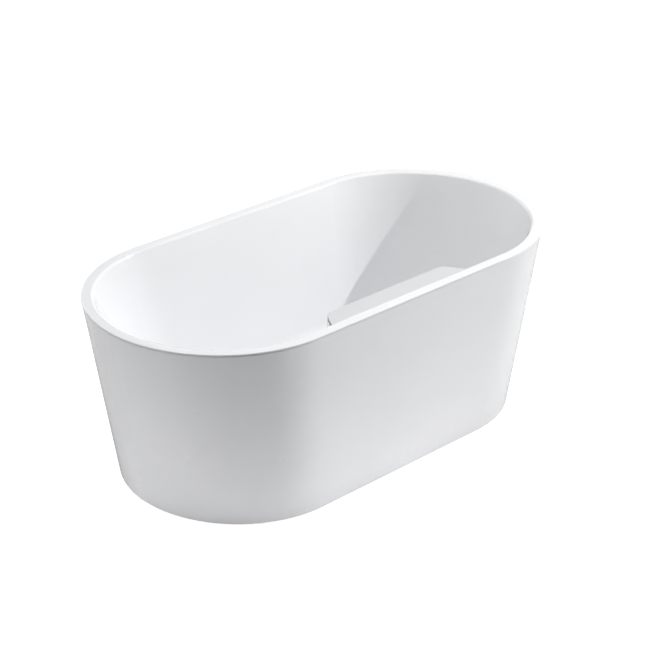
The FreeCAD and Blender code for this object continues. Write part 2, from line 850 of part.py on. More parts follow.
main()
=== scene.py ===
import json
from math import ceil, cos, pi, radians, sin, tau

import bmesh
import bpy
from bpy.props import FloatProperty, FloatVectorProperty, IntProperty, PointerProperty
from mathutils import Matrix, Vector, noise

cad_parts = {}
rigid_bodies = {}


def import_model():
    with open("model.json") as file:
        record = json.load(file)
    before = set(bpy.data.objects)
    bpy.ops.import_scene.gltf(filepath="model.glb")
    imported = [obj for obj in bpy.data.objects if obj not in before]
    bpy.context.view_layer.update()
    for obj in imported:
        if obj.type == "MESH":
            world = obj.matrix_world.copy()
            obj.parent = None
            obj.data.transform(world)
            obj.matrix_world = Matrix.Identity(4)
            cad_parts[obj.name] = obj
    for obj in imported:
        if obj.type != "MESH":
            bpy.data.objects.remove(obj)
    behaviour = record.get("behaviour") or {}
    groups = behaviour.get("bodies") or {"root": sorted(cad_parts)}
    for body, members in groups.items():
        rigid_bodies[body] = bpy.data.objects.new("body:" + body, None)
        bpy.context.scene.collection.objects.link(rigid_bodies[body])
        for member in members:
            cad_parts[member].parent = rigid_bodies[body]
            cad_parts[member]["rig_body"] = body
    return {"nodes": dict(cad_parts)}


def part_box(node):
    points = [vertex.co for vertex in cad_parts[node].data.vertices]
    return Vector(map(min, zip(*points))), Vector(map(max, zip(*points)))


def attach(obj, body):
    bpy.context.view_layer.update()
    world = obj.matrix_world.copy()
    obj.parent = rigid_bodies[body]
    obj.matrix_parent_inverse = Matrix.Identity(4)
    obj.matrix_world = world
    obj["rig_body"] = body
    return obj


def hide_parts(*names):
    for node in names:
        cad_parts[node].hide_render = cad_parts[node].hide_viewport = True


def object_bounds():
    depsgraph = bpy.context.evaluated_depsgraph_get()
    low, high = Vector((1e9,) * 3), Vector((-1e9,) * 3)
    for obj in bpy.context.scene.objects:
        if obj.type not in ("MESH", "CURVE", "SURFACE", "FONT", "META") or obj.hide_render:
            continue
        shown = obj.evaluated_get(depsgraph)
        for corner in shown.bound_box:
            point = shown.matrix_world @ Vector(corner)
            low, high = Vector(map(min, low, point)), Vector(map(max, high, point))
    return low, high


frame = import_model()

bl_info = {
    "name": "Acrylic bathtub",
    "version": (1, 0, 0),
    "blender": (4, 5, 0),
    "location": "3D View > Sidebar > Bathtub",
    "description": "Finishes, small parts, light and camera for a free-standing acrylic bathtub",
    "category": "Object",
}

# All lengths are metres, in the tub's own frame: X along it, Y across it, Z up.
# The tap ledge is on the -Y side, and the origin is on the floor under the middle.

CAD_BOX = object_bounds()
FEET = ("front_left", "front_right", "back_left", "back_right")
UP = Vector((0.0, 0.0, 1.0))
WHITE = (1.0, 1.0, 1.0, 1.0)
BLACK = (0.0, 0.0, 0.0, 1.0)
MERGE = 0.00001         # points nearer than this are one point
WEAR = "wear"           # face attribute, 1 on eased edges
SHARP_EDGE = radians(40.0)
FLAT_JOIN = radians(0.5)
UPRIGHT = 0.01          # largest Z of the normal of a face that stands upright
OUTWARD = 0.2           # least share of a normal that points away from the tub's middle line
BURIED = 0.001          # how far added resin and beads reach into what they sit on
BOARD_CORNER = 0.06     # corner radius of the plywood board
BOARD_SCREWS = (0.30, 0.79)     # places of the board screws along half a rail
FOOT_THREAD_RADIUS = 0.006
FOOT_SPANNER_HEIGHT = 0.007
FOOT_SPANNER_BEVEL = 0.0008
FLOOR_RADIUS = 14.0
FLOOR_GAP = 0.0003      # the floor lies this far under the tub's lowest point

# Name, azimuth and elevation in degrees, distance, size, and whether gloss mirrors the lamp.
LAMPS = (
    ("key", -30.0, 35.4, 6.0, 0.10, True),
    ("front", -35.0, 20.0, 4.0, 1.6, True),
    ("overhead", -60.0, 80.0, 3.0, 2.4, False),
    ("end", 170.0, 75.0, 3.0, 2.4, False),
    ("left", 150.0, 5.0, 5.0, 3.0, False),
    ("back", 80.0, 25.0, 4.0, 1.6, True),
)
# Name, X, Y, depth under the floor, and size.
FLOOR_LAMPS = (
    ("foot", -0.35, 0.0, 0.05, 1.6),
    ("underside", 0.0, 0.0, 2.7, 3.0),
)


# Settings

def a_colour(name, description, value):
    """Colour that a user can change."""
    return FloatVectorProperty(name=name, description=description, subtype="COLOR", size=4,
                               default=(*value, 1.0), min=0.0, max=1.0)


def a_length(name, description, default, high, low=0.0):
    """Length that a user can change, in metres."""
    return FloatProperty(name=name, description=description, default=default, min=low, max=high,
                         unit="LENGTH")


def a_share(name, description, default, high=1.0):
    """Share or strength that a user can change."""
    return FloatProperty(name=name, description=description, default=default, min=0.0, max=high,
                         subtype="FACTOR")


def an_angle(name, description, degrees):
    """Angle that a user can change."""
    return FloatProperty(name=name, description=description, default=radians(degrees),
                         subtype="ANGLE")


def a_power(name, description, default):
    """Power of a lamp that a user can change."""
    return FloatProperty(name=name, description=description, default=default, min=0.0, unit="POWER")


class TubShellSettings(bpy.types.PropertyGroup):
    """Finish of the acrylic shells and of their glass-fibre backs."""
    acrylic: a_colour("Acrylic", "Colour of the gloss acrylic", (0.78, 0.785, 0.797))
    # Painted shade: the cover gets a greyer copy of the shells' acrylic, standing in for the darker
    # tone of the ledge sunk below the rim.
    cover: a_colour(
        "Cover", "Colour of the ledge cover, a shade greyer than the shells", (0.61, 0.614, 0.624))
    roughness: a_share("Roughness", "Roughness of the acrylic", 0.05)
    wave_depth: a_length(
        "Wave depth", "Depth of the slow waves left by vacuum forming", 0.00025, high=0.01)
    peel_depth: a_length("Peel depth", "Depth of the fine orange peel", 0.000004, high=0.001)
    backing: a_colour(
        "Backing", "Colour of the resin and glass fibre on the shells' backs", (0.66, 0.65, 0.58))
    strand_depth: a_length(
        "Strand depth", "Height of the glass strands under the resin", 0.0006, high=0.01)
    # Painted shade, in part: the real adhesive seam is made near black so that it also paints the
    # shade line under the rim's edge.
    seam: a_colour("Seam", "Colour of the adhesive seam under the rim", (0.09, 0.09, 0.10))


class TubDrainSettings(bpy.types.PropertyGroup):
    """Finish of the waste, the overflow and their seals."""
    chrome: a_colour("Chrome", "Colour of the plated waste", (0.80, 0.81, 0.83))
    pipe: a_colour("Pipe", "Colour of the plastic pipe and nuts", (0.80, 0.80, 0.78))
    rubber: a_colour("Rubber", "Colour of the seals and pads", (0.05, 0.05, 0.051))


class TubBaseSettings(bpy.types.PropertyGroup):
    """Board, steel frame and fixings under the tub."""
    wood_light: a_colour("Light wood", "Pale veneer and plies", (0.62, 0.44, 0.27))
    wood_dark: a_colour("Dark wood", "Grain lines and dark plies", (0.34, 0.20, 0.10))
    ply: a_length("Ply", "Thickness of two plies of the board", 0.0033, low=0.0005, high=0.02)
    paint: a_colour("Paint", "Colour of the frame's paint", (0.48, 0.50, 0.51))
    steel: a_colour("Steel", "Colour of zinc-plated steel", (0.62, 0.62, 0.60))
    tube_corner: a_length(
        "Tube corner", "Outer corner radius of the square tubes", 0.0028, high=0.01)
    tube_end: a_length(
        "Tube end", "Edges up to this length, at a tube's ends, stay sharp", 0.025, high=0.1)
    easing: a_length(
        "Easing", "Width of the eased edges of plates, caps, board and battens", 0.0008, high=0.005)
    bead_radius: a_length("Weld bead", "Radius of the weld beads", 0.0024, low=0.0005, high=0.01)
    board_screw_radius: a_length(
        "Board screw", "Radius of the board screws' heads", 0.0055, low=0.001, high=0.02)
    board_screw_head: a_length(
        "Board screw head", "Height of the board screws' heads", 0.0033, low=0.001, high=0.02)
    bracket_screw_radius: a_length(
        "Bracket screw", "Radius of the bracket screws' heads", 0.0045, low=0.001, high=0.02)
    bracket_screw_head: a_length(
        "Bracket screw head", "Height of the bracket screws' heads", 0.0026, low=0.001, high=0.02)
    screw_inset: a_length(
        "Screw inset", "Bracket screws' distance from the bracket's edges", 0.0085, low=0.002,
        high=0.05)
    fillet_width: a_length(
        "Resin fillet", "Reach of the resin fillet round the board", 0.014, low=0.001, high=0.05)


class TubFootSettings(bpy.types.PropertyGroup):
    """Threads and pads of the levelling feet."""
    pitch: a_length("Pitch", "Pitch of the stems' thread", 0.00175, low=0.0005, high=0.01)
    depth: a_length("Depth", "Depth of the stems' thread", 0.00095, low=0.0001, high=0.005)
    facets: IntProperty(name="Facets", description="Points round a thread", default=28, min=8,
                        max=96)
    groove: a_length("Groove", "Depth of the grooves under a pad", 0.0012, high=0.005)
    plastic: a_colour("Plastic", "Colour of the pads and tube caps", (0.055, 0.055, 0.058))


class TubStageSettings(bpy.types.PropertyGroup):
    """Camera, lamps, floor and background."""
    lens: FloatProperty(name="Lens", description="Focal length on a 36 mm sensor, in millimetres",
                        default=105.78, min=10.0, max=500.0)
    azimuth: an_angle("Azimuth", "Camera's turn about the tub", -43.69545)
    elevation: an_angle("Elevation", "Camera's height above the horizon", 26.73249)
    roll: an_angle("Roll", "Camera's roll about its line of sight", 0.677119)
    distance: a_length(
        "Distance", "Camera's distance from the point it looks at", 5.529295, low=0.1, high=100.0)
    target: FloatVectorProperty(name="Target", description="Point that the camera looks at", size=3,
                                default=(0.029768, 0.013921, 0.311603), subtype="TRANSLATION",
                                unit="LENGTH")
    key_power: a_power("Key", "Power of the small key lamp at the front right", 188.0)
    front_power: a_power("Front", "Power of the soft lamp beside the key lamp", 27.0)
    overhead_power: a_power("Overhead", "Power of the large lamp overhead", 58.5)
    end_power: a_power("End", "Power of the large lamp high over the left end", 15.0)
    left_power: a_power("Left", "Power of the large, low lamp at the back left", 76.0)
    back_power: a_power("Back", "Power of the lamp behind the tub", 14.0)
    foot_power: a_power("Foot", "Power of the disc under the floor round the tub's foot", 2.7)
    underside_power: a_power("Underside", "Power of the lamp far under the floor", 50.0)
    world: a_share("World", "Strength of the even light all round", 0.065, high=2.0)
    ceiling: a_share(
        "Ceiling", "Brightness that gloss shows overhead, where the background is 1", 0.35)
    floor_glow: a_share(
        "Floor glow", "White that the floor adds near the tub, over its shadow", 0.75)
    far_glow: a_share("Far glow", "White that the floor adds away from the tub", 1.0)
    gloss_glow: a_share(
        "Gloss glow", "Share of the floor's added white that gloss and glass show", 0.15)
    gloss_dimming: a_share(
        "Gloss dimming", "Share of the lit floor that gloss and glass leave out", 0.4)
    shadow_reach: a_length(
        "Shadow reach", "Distance from the tub's middle to where the floor is white", 2.6,
        low=0.5, high=10.0)


# Shader helpers

def plug(tree, source, target):
    """Links a socket to an input, or gives the input a plain value."""
    if isinstance(source, bpy.types.NodeSocket):
        tree.links.new(source, target)
    else:
        target.default_value = source


def wire(tree, sockets, **sources):
    """Plugs sources into sockets by label, where an underscore stands for a space."""
    for label, source in sources.items():
        plug(tree, source, sockets[label.replace("_", " ")])


def add(tree, kind, settings=None, **inputs):
    """New node, with its settings and its inputs by label."""
    node = tree.nodes.new(kind)
    for name, value in (settings or {}).items():
        setattr(node, name, value)
    wire(tree, node.inputs, **inputs)
    return node


def sum_of(tree, operation, first, second=0.0, third=0.0):
    """Result of a math node."""
    node = tree.nodes.new("ShaderNodeMath")
    node.operation = operation
    for value, socket in zip((first, second, third), node.inputs):
        plug(tree, value, socket)
    return node.outputs["Value"]


def product(tree, first, second):
    """Product of two values."""
    return sum_of(tree, "MULTIPLY", first, second)


def ramp_of(tree, value, low, high, bottom=0.0, top=1.0):
    """A value carried from one range to another and held inside it."""
    node = add(tree, "ShaderNodeMapRange", {"interpolation_type": "SMOOTHSTEP"}, Value=value,
               From_Min=low, From_Max=high, To_Min=bottom, To_Max=top)
    return node.outputs["Result"]


def mixed(tree, share, first, second):
    """Colour between two colours."""
    node = tree.nodes.new("ShaderNodeMix")
    node.data_type = "RGBA"
    low, high = [socket for socket in node.inputs if socket.type == "RGBA"]
    plug(tree, share, node.inputs["Factor"])
    plug(tree, first, low)
    plug(tree, second, high)
    return next(socket for socket in node.outputs if socket.type == "RGBA")


def noise_of(tree, place, scale, detail=2.0, rough=0.5, distortion=0.0):
    """Noise value at a place."""
    node = add(tree, "ShaderNodeTexNoise", Vector=place, Scale=scale, Detail=detail,
               Roughness=rough, Distortion=distortion)
    return node.outputs["Fac"]


def object_place(tree):
    """Place on the piece, in metres of the tub's frame."""
    return add(tree, "ShaderNodeTexCoord").outputs["Object"]


def stretched(tree, place, turn, scale):
    """A place turned and then scaled along its axes."""
    node = add(tree, "ShaderNodeMapping", {"vector_type": "TEXTURE"}, Vector=place)
    node.inputs["Rotation"].default_value = turn
    node.inputs["Scale"].default_value = [1 / value for value in scale]
    return node.outputs["Vector"]


def effect(name, inputs, outputs):
    """Shader node group, its inputs given by label and default, and its outputs by label.

    A default of three values makes a vector and one of four a colour. The output Color is a colour,
    and the others are plain values.
    """
    tree = bpy.data.node_groups.new(name, "ShaderNodeTree")
    for label, default in inputs.items():
        kind = "Float" if isinstance(default, float) else "Vector" if len(default) == 3 else "Color"
        socket = tree.interface.new_socket(label, in_out="INPUT", socket_type="NodeSocket" + kind)
        socket.default_value = default
    for label in outputs:
        kind = "Color" if label == "Color" else "Float"
        tree.interface.new_socket(label, in_out="OUTPUT", socket_type="NodeSocket" + kind)
    return tree, tree.nodes.new("NodeGroupInput").outputs, tree.nodes.new("NodeGroupOutput").inputs


def placed(tree, name, **inputs):
    """Outputs of a shared effect, placed in a material with its own values."""
    node = tree.nodes.new("ShaderNodeGroup")
    node.node_tree = bpy.data.node_groups[name]
    wire(tree, node.inputs, **inputs)
    return node.outputs


def drifted(tree, colour, patches, amount):
    """Colour whose brightness drifts slowly over a surface."""
    return placed(tree, "Tone drift", Color=colour, Patches=patches, Amount=amount)["Color"]


def blank(name):
    """Material by name, and its tree, emptied."""
    material = bpy.data.materials.get(name) or bpy.data.materials.new(name)
    material.use_nodes = True
    material.node_tree.nodes.clear()
    return material, material.node_tree


def shaded(material, colour, roughness, height, **more):
    """Gives a material one Principled shader, bumped by a height in metres, with more by label."""
    tree = material.node_tree
    bump = add(tree, "ShaderNodeBump", Height=height, Distance=1.0, Strength=1.0)
    shader = add(tree, "ShaderNodeBsdfPrincipled", Base_Color=colour, Roughness=roughness,
                 Normal=bump.outputs["Normal"], **more)
    add(tree, "ShaderNodeOutputMaterial", Surface=shader.outputs["BSDF"])
    return material


# Shared effects

def tone_drift():
    """Slow drift of a colour's brightness over a surface."""
    tree, given, result = effect(
        "Tone drift", {"Color": WHITE, "Patches": 4.0, "Amount": 0.03}, ["Color"])
    patches = noise_of(tree, object_place(tree), given["Patches"], 3.0)
    level = ramp_of(tree, patches, 0.3, 0.7, sum_of(tree, "SUBTRACT", 1.0, given["Amount"]), 1.0)
    toned = add(tree, "ShaderNodeHueSaturation", Color=given["Color"], Value=level)
    wire(tree, result, Color=toned.outputs["Color"])


def moulded_waves():
    """Slow waves and fine peel of a formed or moulded surface."""
    tree, given, result = effect(
        "Moulded waves", {"Waves": 5.0, "Wave Depth": 0.0002, "Peel": 700.0, "Peel Depth": 0.000004},
        ["Height"])
    place = object_place(tree)
    waves = product(tree, noise_of(tree, place, given["Waves"], 1.0), given["Wave Depth"])
    peel = product(tree, noise_of(tree, place, given["Peel"], 2.0), given["Peel Depth"])
    wire(tree, result, Height=sum_of(tree, "ADD", waves, peel))


def settled_dust():
    """Thin dust and smears on a surface, more on what faces up."""
    tree, given, result = effect(
        "Settled dust", {"Color": WHITE, "Dust": (0.42, 0.40, 0.37, 1.0), "Amount": 0.3},
        ["Color", "Mask"])
    place = object_place(tree)
    facing = add(tree, "ShaderNodeSeparateXYZ",
                 Vector=add(tree, "ShaderNodeNewGeometry").outputs["Normal"])
    up = ramp_of(tree, facing.outputs["Z"], -0.4, 0.9, 0.25, 1.0)
    smears = ramp_of(tree, noise_of(tree, place, 14.0, 5.0, 0.62), 0.42, 0.70)
    specks = ramp_of(tree, noise_of(tree, place, 420.0, 1.0), 0.56, 0.66, 0.0, 0.6)
    both = sum_of(tree, "MAXIMUM", smears, specks)
    mask = product(tree, product(tree, both, up), given["Amount"])
    wire(tree, result, Color=mixed(tree, mask, given["Color"], given["Dust"]), Mask=mask)


def edge_wear():
    """Rubbed patches along eased edges, and a few scuffs elsewhere."""
    tree, given, result = effect("Edge wear", {"Amount": 0.5, "Grain": 90.0}, ["Mask"])
    place = object_place(tree)
    edge = add(tree, "ShaderNodeAttribute")
    edge.attribute_name = WEAR
    grain = noise_of(tree, place, given["Grain"], 4.0, 0.65)
    rubbed = ramp_of(tree, grain, 0.50, 0.60)
    scuffed = stretched(tree, place, (0.3, 0.2, 0.7), (12.0, 60.0, 60.0))
    scuffs = ramp_of(tree, noise_of(tree, scuffed, 3.0, 4.0, 0.7), 0.68, 0.76, 0.0, 0.5)
    both = sum_of(tree, "MAXIMUM", product(tree, rubbed, edge.outputs["Fac"]), scuffs)
    wire(tree, result, Mask=product(tree, both, given["Amount"]))


def glass_strands():
    """Chopped glass strands lying every way under resin."""
    tree, given, result = effect("Glass strands", {"Scale": 1.0}, ["Height", "Mask"])
    place = add(tree, "ShaderNodeVectorMath", {"operation": "SCALE"}, Vector=object_place(tree),
                Scale=given["Scale"]).outputs["Vector"]
    turns = ((0.0, 0.0, 0.3), (0.5, 0.2, 1.2), (1.2, 0.4, 2.1), (0.2, 1.3, 2.7), (0.9, 0.9, 0.8),
             (1.5, 0.1, 1.7))
    total = 0.0
    for turn in turns:
        streak = noise_of(tree, stretched(tree, place, turn, (14.0, 330.0, 330.0)), 1.0, 2.0, 0.6)
        strand = ramp_of(tree, streak, 0.55, 0.66)
        total = sum_of(tree, "ADD", total, strand) if total else strand
    wire(tree, result, Height=product(tree, total, 1 / len(turns)),
         Mask=ramp_of(tree, total, 0.4, 2.2))


def veneer_and_plies():
    """Plywood: long veneer grain on its faces and plies on its edges, across the given place's Z."""
    tree, given, result = effect(
        "Veneer and plies",
        {"Vector": (0.0, 0.0, 0.0), "Across": 0.0, "Light": WHITE, "Dark": WHITE, "Ply": 0.0033},
        ["Color", "Height"])
    place = given["Vector"]
    long_grain = noise_of(tree, stretched(tree, place, (0.0, 0.0, 0.0), (3.0, 60.0, 60.0)), 1.0, 6.0,
                          0.62, 0.6)
    pores = noise_of(tree, stretched(tree, place, (0.0, 0.0, 0.0), (30.0, 900.0, 900.0)), 1.0, 2.0)
    veins = ramp_of(tree, long_grain, 0.38, 0.68)
    pits = ramp_of(tree, pores, 0.58, 0.68, 0.0, 0.7)
    veneer = sum_of(tree, "MAXIMUM", product(tree, veins, 0.6), pits)
    level = add(tree, "ShaderNodeSeparateXYZ", Vector=place).outputs["Z"]
    turn = sum_of(tree, "FRACT", sum_of(tree, "DIVIDE", level, given["Ply"]))
    band = ramp_of(tree, sum_of(tree, "PINGPONG", turn, 0.5), 0.2, 0.3)
    ends = noise_of(tree, stretched(tree, place, (0.0, 0.0, 0.0), (500.0, 500.0, 160.0)), 1.0, 2.0)
    plies = product(tree, band, ramp_of(tree, ends, 0.3, 0.7, 0.55, 1.0))
    share = sum_of(tree, "ADD", product(tree, veneer, given["Across"]),
                   product(tree, plies, sum_of(tree, "SUBTRACT", 1.0, given["Across"])))
    wire(tree, result, Color=mixed(tree, share, given["Light"], given["Dark"]),
         Height=product(tree, share, -0.00015))


# Finishes

def acrylic_finish(name, shell, colour):
    """Gloss white acrylic."""
    material, tree = blank(name)
    drift = drifted(tree, colour, patches=3.0, amount=0.02)
    haze = noise_of(tree, object_place(tree), 9.0, 4.0)
    waves = placed(tree, "Moulded waves", Waves=4.0, Wave_Depth=shell.wave_depth, Peel=620.0,
                   Peel_Depth=shell.peel_depth)
    roughness = ramp_of(tree, haze, 0.3, 0.7, shell.roughness * 0.8, shell.roughness * 1.3)
    return shaded(material, drift, roughness, waves["Height"], IOR=1.49,
                  Specular_IOR_Level=0.5)


def backing_finish(shell):
    """Resin with chopped glass fibre, on the backs of the shells."""
    material, tree = blank("laminate_backing")
    strands = placed(tree, "Glass strands", Scale=1.0)
    pale = [min(1.0, value * 1.22) for value in shell.backing[:3]] + [1.0]
    resin = mixed(tree, strands["Mask"], shell.backing, pale)
    drift = drifted(tree, resin, patches=5.0, amount=0.22)
    dust = placed(tree, "Settled dust", Color=drift, Amount=0.25)
    lumps = product(tree, noise_of(tree, object_place(tree), 26.0, 3.0), 0.004)
    height = sum_of(tree, "MULTIPLY_ADD", strands["Height"], shell.strand_depth, lumps)
    return shaded(material, dust["Color"], ramp_of(tree, strands["Mask"], 0.0, 1.0, 0.32, 0.55),
                  height, IOR=1.55)


def seam_and_painted_shade_finish(shell):
    """Matt adhesive seam, near black so that it also paints the shade line under the rim."""
    material, tree = blank("seam_adhesive")
    drift = drifted(tree, shell.seam, patches=60.0, amount=0.12)
    grain = noise_of(tree, object_place(tree), 180.0, 3.0)
    return shaded(material, drift, ramp_of(tree, grain, 0.3, 0.7, 0.45, 0.7),
                  product(tree, grain, 0.0002), IOR=1.45)


def rubber_finish(drain):
    """Matt black rubber with a faint bloom."""
    material, tree = blank("soft_rubber")
    bloom = placed(tree, "Settled dust", Color=drain.rubber, Dust=(0.16, 0.16, 0.16, 1.0),
                   Amount=0.4)
    waves = placed(tree, "Moulded waves", Waves=60.0, Wave_Depth=0.0001, Peel=1500.0,
                   Peel_Depth=0.00002)
    return shaded(material, bloom["Color"], ramp_of(tree, bloom["Mask"], 0.0, 0.4, 0.62, 0.85),
                  waves["Height"], IOR=1.5)


def chrome_finish(drain):
    """Polished chrome with fine wiping marks."""
    material, tree = blank("waste_chrome")
    drift = drifted(tree, drain.chrome, patches=30.0, amount=0.05)
    place = stretched(tree, object_place(tree), (0.0, 0.0, 0.6), (60.0, 900.0, 900.0))
    wiped = noise_of(tree, place, 1.0, 3.0)
    return shaded(material, drift, ramp_of(tree, wiped, 0.35, 0.75, 0.05, 0.14),
                  product(tree, wiped, 0.000002), Metallic=1.0)


def pipe_finish(drain):
    """Satin white plastic of the pipe, tee and nuts."""
    material, tree = blank("drain_plastic")
    drift = drifted(tree, drain.pipe, patches=22.0, amount=0.06)
    dust = placed(tree, "Settled dust", Color=drift, Amount=0.22)
    waves = placed(tree, "Moulded waves", Waves=40.0, Wave_Depth=0.0001, Peel=900.0,
                   Peel_Depth=0.00001)
    return shaded(material, dust["Color"], ramp_of(tree, dust["Mask"], 0.0, 0.2, 0.30, 0.55),
                  waves["Height"], IOR=1.53)


def steel_finish(base):
    """Zinc-plated steel with a blotched, cloudy coat."""
    material, tree = blank("stem_steel")
    cloud = noise_of(tree, object_place(tree), 120.0, 4.0, 0.6)
    dull = [value * 0.72 for value in base.steel[:3]] + [1.0]
    plated = mixed(tree, ramp_of(tree, cloud, 0.35, 0.65), base.steel, dull)
    dust = placed(tree, "Settled dust", Color=plated, Amount=0.3)
    return shaded(material, dust["Color"], ramp_of(tree, cloud, 0.3, 0.7, 0.26, 0.46),
                  product(tree, cloud, 0.00002),
                  Metallic=ramp_of(tree, dust["Mask"], 0.0, 0.3, 1.0, 0.55))


def painted_finish(base):
    """Grey satin paint on steel tube, worn through along its edges."""
    material, tree = blank("frame_steel")
    drift = drifted(tree, base.paint, patches=16.0, amount=0.14)
    wear = placed(tree, "Edge wear", Amount=0.85, Grain=110.0)
    worn = mixed(tree, wear["Mask"], drift, base.steel)
    dust = placed(tree, "Settled dust", Color=worn, Amount=0.35)
    waves = placed(tree, "Moulded waves", Waves=50.0, Wave_Depth=0.0001, Peel=1100.0,
                   Peel_Depth=0.00002)
    chipped = sum_of(tree, "MULTIPLY_ADD", wear["Mask"], -0.00008, waves["Height"])
    return shaded(material, dust["Color"], ramp_of(tree, dust["Mask"], 0.0, 0.35, 0.38, 0.62),
                  chipped, IOR=1.5, Metallic=product(tree, wear["Mask"], 0.9))


def wood_finish(name, base, turn):
    """Raw plywood; the turn brings the sheet's thickness onto Z."""
    material, tree = blank(name)
    place = stretched(tree, object_place(tree), turn, (1.0, 1.0, 1.0))
    normal = add(tree, "ShaderNodeNewGeometry").outputs["Normal"]
    facing = stretched(tree, normal, turn, (1.0, 1.0, 1.0))
    upright = add(tree, "ShaderNodeSeparateXYZ", Vector=facing).outputs["Z"]
    across = ramp_of(tree, sum_of(tree, "ABSOLUTE", upright), 0.45, 0.75)
    wood = placed(tree, "Veneer and plies", Vector=place, Across=across, Light=base.wood_light,
                  Dark=base.wood_dark, Ply=base.ply)
    drift = drifted(tree, wood["Color"], patches=6.0, amount=0.2)
    dust = placed(tree, "Settled dust", Color=drift, Dust=(0.60, 0.56, 0.48, 1.0), Amount=0.2)
    return shaded(material, dust["Color"], ramp_of(tree, dust["Mask"], 0.0, 0.2, 0.62, 0.8),
                  wood["Height"], IOR=1.45)


def pad_finish(foot):
    """Black moulded plastic of the pads and tube caps."""
    material, tree = blank("foot_plastic")
    drift = drifted(tree, foot.plastic, patches=40.0, amount=0.2)
    dust = placed(tree, "Settled dust", Color=drift, Amount=0.35)
    waves = placed(tree, "Moulded waves", Waves=80.0, Wave_Depth=0.00008, Peel=2200.0,
                   Peel_Depth=0.00003)
    return shaded(material, dust["Color"], ramp_of(tree, dust["Mask"], 0.0, 0.35, 0.45, 0.75),
                  waves["Height"], IOR=1.5)


# Mesh helpers

def in_scene(name, data):
    """New object in the scene."""
    made = bpy.data.objects.new(name, data)
    bpy.context.scene.collection.objects.link(made)
    return made


def made_piece(name, work, slot, body, material=None, smooth_deg=35.0):
    """Object from a bmesh, riding on its body, with its slot's finish."""
    mesh = bpy.data.meshes.new(name)
    bmesh.ops.recalc_face_normals(work, faces=work.faces)
    work.to_mesh(mesh)
    work.free()
    mesh.shade_smooth()
    mesh.set_sharp_from_angle(angle=radians(smooth_deg))
    mesh.materials.append(material or bpy.data.materials[slot])
    piece = in_scene(name, mesh)
    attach(piece, body)
    return piece


def eased_copy(node, name, slot, width, segments, shortest=0.0, material=None):
    """Stand-in for a node, with its flat faces joined and its outer corners eased.

    Edges up to the shortest length given stay sharp.
    """
    work = bmesh.new()
    work.from_mesh(frame["nodes"][node].data)
    layer = work.faces.layers.float.new(WEAR)
    bmesh.ops.remove_doubles(work, verts=work.verts, dist=MERGE)
    bmesh.ops.dissolve_limit(work, angle_limit=FLAT_JOIN, verts=work.verts, edges=work.edges)
    sharp = [edge for edge in work.edges
             if edge.is_manifold and edge.calc_face_angle_signed(0.0) > SHARP_EDGE
             and edge.calc_length() > shortest]
    rounded = bmesh.ops.bevel(work, geom=sharp, offset=width, segments=segments, profile=0.5,
                              affect="EDGES", clamp_overlap=False)
    for face in rounded["faces"]:
        face[layer] = 1.0
    piece = made_piece(name, work, slot, frame["nodes"][node]["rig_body"], material)
    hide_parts(node)


def skin(work, rows, closed=False, capped=False):
    """Quads round and between rows of as many points, closed or capped if asked; gives the rings."""
    rings = [[work.verts.new(point) for point in row] for row in rows]
    for low, high in zip(rings, rings[1:] + (rings[:1] if closed else [])):
        for first in range(len(low)):
            second = (first + 1) % len(low)
            work.faces.new((low[first], low[second], high[second], high[first]))
    if capped:
        work.faces.new(rings[0][::-1])
        work.faces.new(rings[-1])
    return rings


def circle(radius, height, steps, place):
    """Points round the Z axis at a height, put in their place by a matrix."""
    return [place @ Vector((radius * cos(tau * step / steps),
                            radius * sin(tau * step / steps), height))
            for step in range(steps)]


def lathe(work, profile, middle, steps):
    """Closed solid turned about an upright axis; its radius and height pairs start and end on it."""
    place = Matrix.Translation(middle)
    rings = skin(work, [circle(radius, height, steps, place) for radius, height in profile[1:-1]])
    for pole, ring in ((profile[0], rings[0]), (profile[-1], rings[-1])):
        tip = work.verts.new(middle + Vector((0.0, 0.0, pole[1])))
        for step in range(steps):
            work.faces.new((ring[step], ring[(step + 1) % steps], tip))


def loose_boxes(node, split_sides=True):
    """Low corner, high corner and points of a node's pieces, by end, or by end and side."""
    groups = {}
    for vertex in frame["nodes"][node].data.vertices:
        key = (vertex.co.x > 0, split_sides and vertex.co.y > 0)
        groups.setdefault(key, []).append(vertex.co)
    return [(Vector([min(point[axis] for point in points) for axis in range(3)]),
             Vector([max(point[axis] for point in points) for axis in range(3)]), points)
            for points in groups.values()]


def ragged(place, amount, scale, octaves):
    """Factor about 1 that wanders from place to place."""
    return 1.0 + amount * noise.fractal(place * scale, 0.8, 2.0, octaves)


# Shells

def coat(node, shown, backing, is_back):
    """A shown and a backing material on a node, by a test of each face."""
    mesh = frame["nodes"][node].data
    mesh.materials.clear()
    for material in (shown, backing):
        mesh.materials.append(material)
    for polygon in mesh.polygons:
        polygon.material_index = int(is_back(polygon))


def dress_shells(settings):
    """Acrylic on the faces that show, laminate on the backs."""
    gloss = acrylic_finish("tub_acrylic", settings, settings.acrylic)
    outside = acrylic_finish("skirt_acrylic", settings, settings.acrylic)
    # The cover's acrylic is a shaded copy of the shells' acrylic; its greyer colour is painted
    # shade.
    acrylic_finish("cover_acrylic", settings, settings.cover)
    seam_and_painted_shade_finish(settings)
    backing = backing_finish(settings)
    rim_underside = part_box("rim_bond_bead")[1].z
    low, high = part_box("outer_skirt")
    straight = ((high.x - low.x) - (high.y - low.y)) / 2    # half of the skirt's middle line

    def basin_back(face):
        """Whether a face of the inner shell looks down, or stands upright below the rim."""
        upright = abs(face.normal.z) <= UPRIGHT
        return face.normal.z < -UPRIGHT or upright and face.center.z < rim_underside

    def skirt_back(face):
        """Whether a face of the skirt doesn't look away from the tub's middle line."""
        nearest = max(-straight, min(straight, face.center.x))
        away = Vector((face.center.x - nearest, face.center.y, 0.0)).normalized()
        return face.normal.dot(away) <= OUTWARD

    coat("basin_shell", gloss, backing, basin_back)
    coat("outer_skirt", outside, backing, skirt_back)


# Base: board, resin fillet, battens

